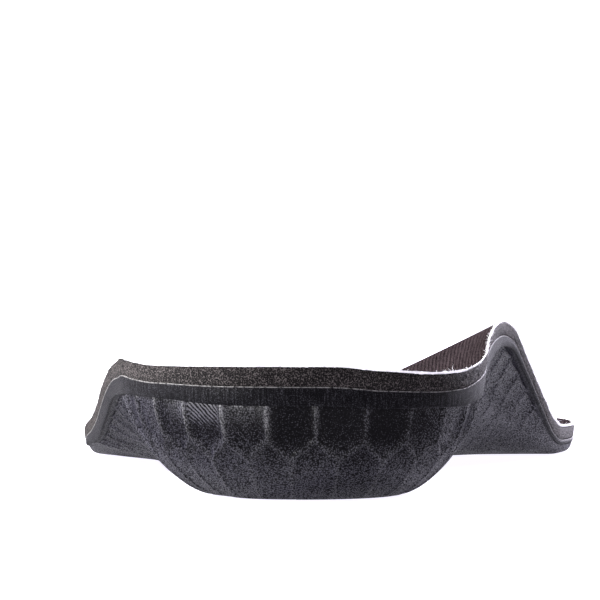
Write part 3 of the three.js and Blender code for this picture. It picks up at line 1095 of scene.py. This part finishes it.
@dataclass
class MouldedBase(Layer):
    """Heel cup and arch of moulded foam with its band, ledge, ribbed wall and underside."""

    coarse: float = 1.6
    spine_pitch: float = 2.0
    wall_rows: int = 72
    crest_half_width: float = 0.12
    rib_foot: Span = Span(0.0, 0.8)
    foot_share: float = 0.55
    scoop_reach: float = 2.8
    scoop_bend: float = 2.0
    relief_end: Span = Span(-0.6, 0.6)
    upper_depth: float = 0.85
    lower_depth: float = 0.3
    lower_start: Span = Span(0.38, 0.52)
    foot_fade: float = 0.15
    flank_share: float = 0.6
    fork: Span = Span(0.29, 0.48)
    path_points: int = 60
    slope_step: float = 0.01
    bond_height: float = 0.17
    bond_proud: float = 0.08
    glue_gap: float = 0.05
    seat_shares: Row = (0.12, 0.3, 0.5, 0.7, 0.85, 0.94)
    bond_profile: Profile = ((0.0, -6.0), (0.05, 0.1), (0.3, 0.8), (0.55, 1.0), (0.8, 0.8))
    bond_end: float = 1.1
    band_shares: Row = (0.04, 0.3, 0.55, 0.8)
    band_bow: float = 0.1
    corner_height: float = 0.3
    corner_profile: Profile = ((0.26, 0.02), (0.12, 0.07), (0.03, 0.18), (0.0, 0.34))
    ledge_shares: Row = (0.45, 0.75)
    floor_shares: Row = (0.97, 0.9, 0.8, 0.68, 0.55, 0.4, 0.25, 0.1)
    lift_start: float = 0.12
    lift_bend: float = 1.75
    marks: WallMarks = WallMarks()

    def scoop(self, at: Stations, down: float, span: np.ndarray) -> np.ndarray:
        """How far each column is sunk at a height of the wall: 0 on a rib, 1 amid a panel.

        Args:
            at: The stations.
            down: Share of the way down the wall.
            span: Length of the wall from ledge to floor, for each column.

        Returns:
            The share of the panel's depth.
        """
        outer, inner = RELIEF[Side.LATERAL], RELIEF[Side.MEDIAL]
        first = np.where(at.side < 0, outer.first_rib, inner.first_rib)
        half = np.where(at.side < 0, outer.half_cell, inner.half_cell)
        end = np.where(at.side < 0, outer.end, inner.end)
        past = np.mod(at.along - first, 2 * half)
        from_rib = np.minimum(past, 2 * half - past)
        path_down = np.linspace(-0.1, 1.1, self.path_points)
        path_side = self.fork.rise(path_down)
        distance = np.full(at.count, np.inf)
        for k in range(len(path_down) - 1):
            step_side = (path_side[k + 1] - path_side[k]) * half
            step_down = (path_down[k + 1] - path_down[k]) * span
            off_side = from_rib - path_side[k] * half
            off_down = (down - path_down[k]) * span
            way = (off_side * step_side + off_down * step_down) / (step_side**2 + step_down**2)
            way = np.clip(way, 0, 1)
            gap = np.hypot(off_side - way * step_side, off_down - way * step_down)
            distance = np.minimum(distance, gap)
        away = distance - self.crest_half_width
        slope = np.clip(away / self.scoop_reach, 0, 1)
        sunk = 1 - (1 - slope) ** self.scoop_bend
        sunk = sunk + (self.rib_foot.rise(away) - sunk) * self.foot_share
        return sunk * self.relief_end.fall(at.along - end)

    def rings(self, at: Stations) -> tuple[list[np.ndarray], dict[str, list[np.ndarray]]]:
        """Rings of the whole base and the masks of its finish.

        Args:
            at: The stations.

        Returns:
            The rings and, by mask name, one row of numbers per ring.
        """
        rings: list[np.ndarray] = []
        masks: dict[str, list[np.ndarray]] = {
            name: [] for name in ("band", "lip_line", "hatch", "rib", "panel")
        }

        def add(ring: np.ndarray, **parts: Any) -> None:
            """Adds one ring with its masks."""
            rings.append(ring)
            for name, rows in masks.items():
                value = np.asarray(parts.get(name, 0.0), dtype=float)
                rows.append(np.broadcast_to(value, at.count))

        taper = self.form.edge_taper
        top = at.foam_edge + self.glue_gap
        bottom = at.foam_edge + at.band_edge
        add(at.middle(at.middle_seat - at.middle_edge - self.glue_gap))
        for share in self.seat_shares:
            add(at.layer(share, top))
        for share, proud in self.bond_profile:
            depth = top + self.bond_height * share
            add(at.inset(taper * depth - proud * self.bond_proud, at.rim_z - depth), lip_line=1.0)
        under_bond = top + self.bond_height * self.bond_end
        add(at.inset(taper * under_bond, at.rim_z - under_bond), band=1, lip_line=0.2)
        for share in self.band_shares:
            depth = under_bond + (bottom - under_bond - self.corner_height) * share
            bow = self.band_bow * math.sin(math.pi * share)
            add(at.inset(taper * depth - bow, at.rim_z - depth), band=1)
        for above, inward in self.corner_profile:
            add(at.inset(taper * (bottom - above) + inward, at.rim_z - bottom + above), band=1)
        for share in self.ledge_shares:
            add(at.inset(taper * bottom + at.ledge * share, at.rim_z - bottom), band=0.5)
        self.add_wall(at, add)
        floor_share = 1 - at.flank / at.run
        for reach in self.floor_shares:
            lift = max((reach - self.lift_start) / (1 - self.lift_start), 0.0) ** self.lift_bend
            add(at.plan(reach * floor_share, lift * at.lift))
        add(at.middle(0.0))
        return rings, masks

    def add_wall(self, at: Stations, add: AddRing) -> None:
        """Adds the rings of the ribbed wall, panels sunk at right angles to it.

        Args:
            at: The stations.
            add: Takes each ring with its masks.
        """
        rows = np.linspace(0.0, 1.0, self.wall_rows)
        sections = [self.form.wall(at, float(down)) for down in rows]
        span = sum(
            np.hypot(b[0] - a[0], b[1] - a[1]) for a, b in zip(sections[:-1], sections[1:])
        )
        quiet = self.flank_share + (1 - self.flank_share) * self.marks.heel_end.fall(at.along)
        for down, (inward, height) in zip(rows.tolist(), sections):
            before = self.form.wall(at, max(down - self.slope_step, 0.0))
            after = self.form.wall(at, min(down + self.slope_step, 1.0))
            run, drop = after[0] - before[0], after[1] - before[1]
            size = np.maximum(np.hypot(run, drop), Layer.SMALL)
            fade = min(1.0, (1.0 - down) / self.foot_fade)
            lower = self.lower_start.rise(down)
            depth = self.upper_depth + (self.lower_depth - self.upper_depth) * lower
            share = self.scoop(at, down, span) * quiet * fade
            sunk = share * depth
            ring = at.inset(inward - drop / size * sunk, height + run / size * sunk)
            add(ring, **self.marks.masks(at, down, share, fade))

    def build(self) -> bpy.types.Object:
        """Models the base.

        Returns:
            The finished piece.
        """
        at = self.form.rib_stations(self.coarse, self.spine_pitch)
        rings, masks = self.rings(at)
        piece, order = self.loft("moulded_base_body", rings)
        for name, rows in masks.items():
            Bench.keep_mask(piece, name, np.concatenate(rows)[order])
        steps = [np.linalg.norm(b - a, axis=1) for a, b in zip(rings[:-1], rings[1:])]
        down = np.concatenate([np.zeros((1, at.count)), np.cumsum(steps, axis=0)])
        along = np.broadcast_to(at.along * at.side, down.shape)
        Bench.keep_map(piece, "wrap", np.stack([along.ravel(), down.ravel()], axis=1)[order] * MM)
        Bench.close(piece, 50)
        self.dress(piece, MouldedFinish().material())
        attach(piece, "root")
        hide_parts("moulded_base")
        self.piece = piece
        return piece


@dataclass
class CushionFoam(Layer):
    """Open-cell foam sheet between base and cover, with a rough cut face all round."""

    fine: float = 0.4
    coarse: float = 1.2
    top_depth: float = 0.54
    glue_gap: float = 0.04
    layer_shares: Row = (0.15, 0.4, 0.65, 0.85, 0.95)
    edge_rows: int = 13
    corner: float = 0.14
    corner_bend: int = 8
    bulge: float = 0.1
    rough: float = 0.05
    seed: int = 11

    def build(self) -> bpy.types.Object:
        """Models the foam.

        Returns:
            The finished piece.
        """
        at = self.form.even_stations(self.fine, self.coarse)
        chance = np.random.default_rng(self.seed)
        under = at.foam_edge - self.glue_gap
        taper = self.form.edge_taper
        rings = [at.middle(at.middle_seat - self.top_depth)]
        rings += [at.layer(share, self.top_depth) for share in self.layer_shares]
        for share in np.linspace(0.0, 1.0, self.edge_rows):
            depth = self.top_depth + (under - self.top_depth) * share
            corner = self.corner * (abs(2 * share - 1) ** self.corner_bend)
            bulge = self.bulge * math.sin(math.pi * share)
            grain = chance.normal(0, self.rough, at.count)
            grain[-1] = grain[0]
            rings.append(at.inset(taper * depth + corner - bulge - grain, at.rim_z - depth))
        rings += [at.layer(share, under) for share in reversed(self.layer_shares)]
        rings.append(at.middle(at.middle_seat - at.middle_edge + self.glue_gap))
        piece, _ = self.loft("cushion_foam_sheet", rings)
        Bench.close(piece, 60)
        self.dress(piece, OpenFoamFinish().material())
        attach(piece, "root")
        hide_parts("cushion_foam")
        self.piece = piece
        return piece


@dataclass
class TopCover(Layer):
    """Knit cover bonded over the foam, cut flush with it all round. Its flat size is in metres."""

    fine: float = 0.9
    coarse: float = 1.4
    thickness: float = 0.42
    wander: float = 0.1
    wave_lengths: Row = (1.9, 2.7, 4.1, 6.3, 11.0)
    seed: int = 5
    top_shares: Row = (0.0, 0.04, 0.1, 0.2, 0.3, 0.4, 0.5, 0.6, 0.7, 0.78, 0.85, 0.9, 0.94)
    under_shares: Row = (0.94, 0.8, 0.6, 0.4, 0.2, 0.06, 0.0)
    rolled: tuple[Triple, ...] = (
        (0.8, 0.0, 0.0),
        (0.5, 0.0, 0.1),
        (0.25, 0.01, 0.4),
        (0.08, 0.05, 0.8),
    )
    rolled_stray: float = 0.6
    cut_profile: Profile = ((0.02, 0.13), (0.0, 0.22), (0.03, 0.31), (0.1, 0.39))
    turned_in: float = 0.5
    most_stretch: float = 1.6
    flat_width: float = 0.0985
    flat_length: float = 0.280
    flat_area: float = 0.0222

    def edge_wander(self, at: Stations) -> np.ndarray:
        """How far the cut strays in and out of its line, in millimetres per column."""
        chance = np.random.default_rng(self.seed)
        way = at.along * at.side
        waves = [
            math.sqrt(size) * np.sin(way * 2 * np.pi / size + chance.uniform(0, 6.28))
            for size in self.wave_lengths
        ]
        stray = np.sum(waves, axis=0) / 6 * self.wander
        stray[-1] = stray[0]
        return stray

    def build(self) -> bpy.types.Object:
        """Models the cover.

        Returns:
            The finished piece.
        """
        at = self.form.even_stations(self.fine, self.coarse)
        stray = self.edge_wander(at)
        rings: list[np.ndarray] = []
        cut: list[np.ndarray] = []

        def add(ring: np.ndarray, mask: float) -> None:
            """Adds a ring and how much it belongs to the cut edge."""
            rings.append(ring)
            cut.append(np.full(at.count, mask))

        for share in self.top_shares:
            add(at.layer(share, 0.0), 0.0)
        taper = self.form.edge_taper
        for inward, depth, mask in self.rolled:
            add(at.layer(1 - (inward - stray * self.rolled_stray) / at.run, depth), mask)
        for inward, depth in self.cut_profile:
            add(at.inset(inward + taper * depth - stray, at.rim_z - depth), 1.0)
        add(at.layer(1 - self.turned_in / at.run, self.thickness), 1.0)
        for share in self.under_shares:
            add(at.layer(share, self.thickness), 0.0)
        piece, order = self.loft("top_cover_knit", rings)
        Bench.keep_mask(piece, "cut", np.concatenate(cut)[order])
        Bench.keep_map(piece, "cloth", self.cloth_map(at, rings)[order] * MM)
        Bench.close(piece, 60)
        self.dress(piece, KnitFinish().material())
        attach(piece, "root")
        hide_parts("top_cover")
        self.piece = piece
        return piece

    def cloth_map(self, at: Stations, rings: Sequence[np.ndarray]) -> np.ndarray:
        """Lays the cover out flat from the spine, so that its wales keep their width on slopes.

        Args:
            at: The stations.
            rings: The cover's rings in millimetres.

        Returns:
            A flat place for each point, ring after ring.
        """
        reach = np.zeros(at.count)
        last = rings[0]
        places = []
        for ring in rings:
            reach = reach + np.linalg.norm(ring - last, axis=1)
            last = ring
            plan_x, plan_y = ring[:, 0] - at.spine_x, ring[:, 1] - at.spine_y
            plan = np.maximum(np.hypot(plan_x, plan_y), Layer.SMALL)
            stretch = np.where(plan > 0.01, np.minimum(reach / plan, self.most_stretch), 1.0)
            places.append(
                np.stack([at.spine_x + plan_x * stretch, at.spine_y + plan_y * stretch], axis=1)
            )
        return np.concatenate(places)


@dataclass
class EdgeFuzz(Layer):
    """Loose fibre ends along the cover's cut edge."""

    step: float = 0.5
    per_millimetre: float = 9.0
    tuft_pitch: float = 1.6
    tuft_spread: float = 0.2
    tufted_share: float = 0.6
    tuft_sweep: float = 0.6
    tuft_length: float = 0.35
    loose_length: float = 0.3
    root_depth: Span = Span(-0.05, 0.4)
    top_depth: float = 0.12
    top_reach: float = 0.5
    cut_inset: float = 0.04
    lean: Scatter = Scatter(0.1, 0.4)
    tilt: Scatter = Scatter(0.6, 0.4)
    sway: Scatter = Scatter(0.0, 0.5)
    longest: float = 0.8
    shortest: float = 0.08
    curl: float = 0.3
    bend_at: float = 0.55
    bend_curl: float = 0.35
    droop: float = 0.12
    thick: float = 0.02
    thickness_range: Span = Span(0.7, 1.3)
    waist: float = 0.8
    seed: int = 23

    def fibres(self) -> tuple[np.ndarray, np.ndarray, np.ndarray, np.ndarray]:
        """Where the fibres stand.

        Returns:
            Roots, middles, tips in millimetres of the drawing, and half thicknesses.
        """
        at = self.form.even_stations(self.step, self.step)
        chance = np.random.default_rng(self.seed)
        total = float(at.along[0] + at.along[-1])
        count = int(total * self.per_millimetre)
        tufts = np.cumsum(chance.gamma(2.0, self.tuft_pitch / 2, int(total / self.tuft_pitch)))
        tufts *= total / tufts[-1]
        pick = chance.integers(0, len(tufts), count)
        tufted = chance.uniform(0, 1, count) < self.tufted_share
        near = tufts[pick] + chance.normal(0.0, self.tuft_spread, count)
        where = np.clip(np.where(tufted, near, chance.uniform(0, total, count)), 0, total)
        arc = at.along * at.side + at.along[0]

        def spread(values: np.ndarray) -> np.ndarray:
            """Reads a field of the stations at each fibre."""
            return np.interp(where, arc, values)

        rim = np.stack([spread(at.rim_x), spread(at.rim_y), spread(at.rim_z)], axis=1)
        out = rim - np.stack([spread(at.spine_x), spread(at.spine_y), rim[:, 2]], axis=1)
        out /= np.linalg.norm(out, axis=1)[:, None]
        side = np.stack([-out[:, 1], out[:, 0], np.zeros(count)], axis=1)
        up = np.array([0.0, 0.0, 1.0])
        depth = chance.uniform(self.root_depth.start, self.root_depth.end, count)
        on_top = chance.uniform(0.0, self.top_reach, count)
        inward = np.where(depth < self.top_depth, on_top, self.cut_inset)
        slope = spread((at.rim_z - at.seat) * at.bowl / at.run)
        root = rim - out * inward[:, None] - up * (np.maximum(depth, 0) + inward * slope)[:, None]
        sweep = chance.normal(0.0, self.tuft_sweep, (3, len(tufts)))[:, pick] * tufted
        lean = self.lean.draw(chance, count) + sweep[0]
        tilt = self.tilt.draw(chance, count)
        sway = self.sway.draw(chance, count) + sweep[1]
        aim = out * lean[:, None] + up * tilt[:, None] + side * sway[:, None]
        aim /= np.linalg.norm(aim, axis=1)[:, None]
        clump = np.where(tufted, np.exp(self.tuft_length * sweep[2]), self.loose_length)
        length = self.longest * chance.beta(1.8, 2.6, count) * clump + self.shortest
        curl = chance.normal(0, self.curl, (count, 3)) * length[:, None]
        middle = root + aim * (length * self.bend_at)[:, None] + curl * self.bend_curl
        tip = root + aim * length[:, None] + curl - up * (length * self.droop)[:, None]
        thinner, thicker = self.thickness_range.start, self.thickness_range.end
        return root, middle, tip, self.thick * chance.uniform(thinner, thicker, count)

    def build(self) -> bpy.types.Object:
        """Models the fibres as one mesh of small closed spikes.

        Returns:
            The finished piece.
        """
        root, middle, tip, half = self.fibres()
        axis = tip - root
        aside = np.array([0.3, 0.2, 0.93])
        first = np.cross(axis, aside)
        first /= np.maximum(np.linalg.norm(first, axis=1), Layer.SMALL)[:, None]
        second = np.cross(axis, first)
        second /= np.maximum(np.linalg.norm(second, axis=1), Layer.SMALL)[:, None]
        points = []
        for centre, size in ((root, 1.0), (middle, self.waist)):
            for turn in range(3):
                angle = turn * 2 * math.pi / 3
                away = first * math.cos(angle) + second * math.sin(angle)
                points.append(centre + away * (half * size)[:, None])
        points.append(tip)
        stacked = np.stack(points, axis=1).reshape(-1, 3)
        spike = [(0, 2, 1)]
        spike += [(k, (k + 1) % 3, 3 + (k + 1) % 3, 3 + k) for k in range(3)]
        spike += [(3 + k, 3 + (k + 1) % 3, 6) for k in range(3)]
        faces = [
            tuple(corner + len(points) * number for corner in face)
            for number in range(len(root))
            for face in spike
        ]
        mesh = bpy.data.meshes.new("cover_edge_fuzz")
        mesh.from_pydata(((stacked + self.form.shift) * MM).tolist(), [], faces)
        piece = bpy.data.objects.new("cover_edge_fuzz", mesh)
        bpy.context.collection.objects.link(piece)
        Bench.close(piece, 70)
        self.dress(piece, FuzzFinish().material())
        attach(piece, "root")
        self.piece = piece
        return piece


@dataclass(frozen=True)
class Panel:
    """A soft light panel.

    Args:
        name: Name of the light.
        place: Where it hangs, in metres.
        aim: The point it faces.
        size: Its width and height.
        power: Its power in watts.
        colour: Colour of its light.
    """

    name: str
    place: Triple
    aim: Triple
    size: tuple[float, float]
    power: float
    colour: Triple = (1.0, 1.0, 1.0)

    def hang(self) -> None:
        """Adds the light and turns it to what it faces."""
        Bench.clear()
        bpy.ops.object.light_add(type="AREA", location=self.place)
        light = bpy.context.active_object
        light.name = self.name
        light.data.shape = "RECTANGLE"
        light.data.size, light.data.size_y = self.size
        light.data.energy = self.power
        light.data.color = self.colour
        way = np.array(self.aim) - np.array(self.place)
        flat = math.hypot(way[0], way[1])
        light.rotation_euler = (
            math.pi / 2 + math.atan2(way[2], flat),
            0.0,
            math.atan2(way[1], way[0]) - math.pi / 2,
        )


PANELS = (
    Panel("left_panel", (-0.9, -0.06, 0.46), (0, -0.06, 0.02), (0.3, 0.2), 54),
    Panel("low_panel", (-0.8, -0.72, 0.09), (0, -0.12, 0.02), (0.2, 0.1), 12),
    Panel(
        "right_panel", (0.46, 0.75, 0.45), (0, -0.05, 0.02), (0.4, 0.4), 64, (0.88, 0.85, 1.0)
    ),
)


@dataclass
class Studio:
    """White paper floor, soft light and the camera behind the heel, in metres and degrees."""

    floor_radius: float = 6.0
    floor_corners: int = 96
    floor_drop: float = 0.0002
    camera_place: Triple = (0.05227, -1.2769, 0.064)
    camera_pitch: float = 1.431
    camera_turn: float = 2.5262
    lens: float = 393.66
    sensor: float = 36.0
    nearest: float = 0.05
    room: Colour = (0.96, 0.92, 1.0, 1)
    room_glow: float = 1.15
    least_glow: float = 0.02

    def build_camera(self) -> bpy.types.Object:
        """Sets up the camera at the photograph's angle."""
        Bench.clear()
        turn = (math.radians(90 - self.camera_pitch), 0.0, math.radians(self.camera_turn))
        bpy.ops.object.camera_add(location=self.camera_place, rotation=turn)
        camera = bpy.context.active_object
        camera.name = "studio_camera"
        camera.data.lens = self.lens
        camera.data.sensor_width = self.sensor
        camera.data.clip_start = self.nearest
        bpy.context.scene.camera = camera
        return camera

    def build_floor(self) -> bpy.types.Object:
        """Lays the paper floor."""
        Bench.clear()
        bpy.ops.mesh.primitive_circle_add(
            vertices=self.floor_corners,
            radius=self.floor_radius,
            fill_type="NGON",
            location=(0, 0, -self.floor_drop),
        )
        floor = bpy.context.active_object
        floor.name = floor.data.name = "studio_floor"
        bpy.ops.object.transform_apply(location=True, rotation=True, scale=True)
        floor.data.materials.append(FloorFinish().material())
        return floor

    def build_world(self) -> None:
        """Soft room light: bright overhead and beyond the toe, dark behind the heel."""
        world = bpy.data.worlds.new("studio_world")
        bpy.context.scene.world = world
        tree = FinishTree(world)
        way = tree.node("ShaderNodeTexCoord", output="Generated")
        glow = tree.axis(way, "Y").ease(0.0, 0.6).most(tree.axis(way, "Z").ease(0.55, 1.0))
        sockets = {"Color": self.room, "Strength": glow * self.room_glow + self.least_glow}
        light = tree.node("ShaderNodeBackground", None, sockets)
        tree.node("ShaderNodeOutputWorld", None, {"Surface": light})

    def build(self) -> None:
        """Builds the whole studio."""
        bpy.context.scene.view_settings.view_transform = "Standard"
        self.build_camera()
        self.build_floor()
        self.build_world()
        for panel in PANELS:
            panel.hang()


def main() -> None:
    """Builds the studio and every piece in order."""
    logging.basicConfig(level=logging.INFO, format="%(name)s: %(message)s")
    form = FootForm()
    Studio().build()
    base = MouldedBase(form)
    foam = CushionFoam(form)
    cover = TopCover(form)
    fuzz = EdgeFuzz(form)
    for layer in (base, foam, cover, fuzz):
        piece = layer.build()
        LOG.info("%s: %d faces", piece.name, len(piece.data.polygons))


if __name__ == "__main__":
    main()
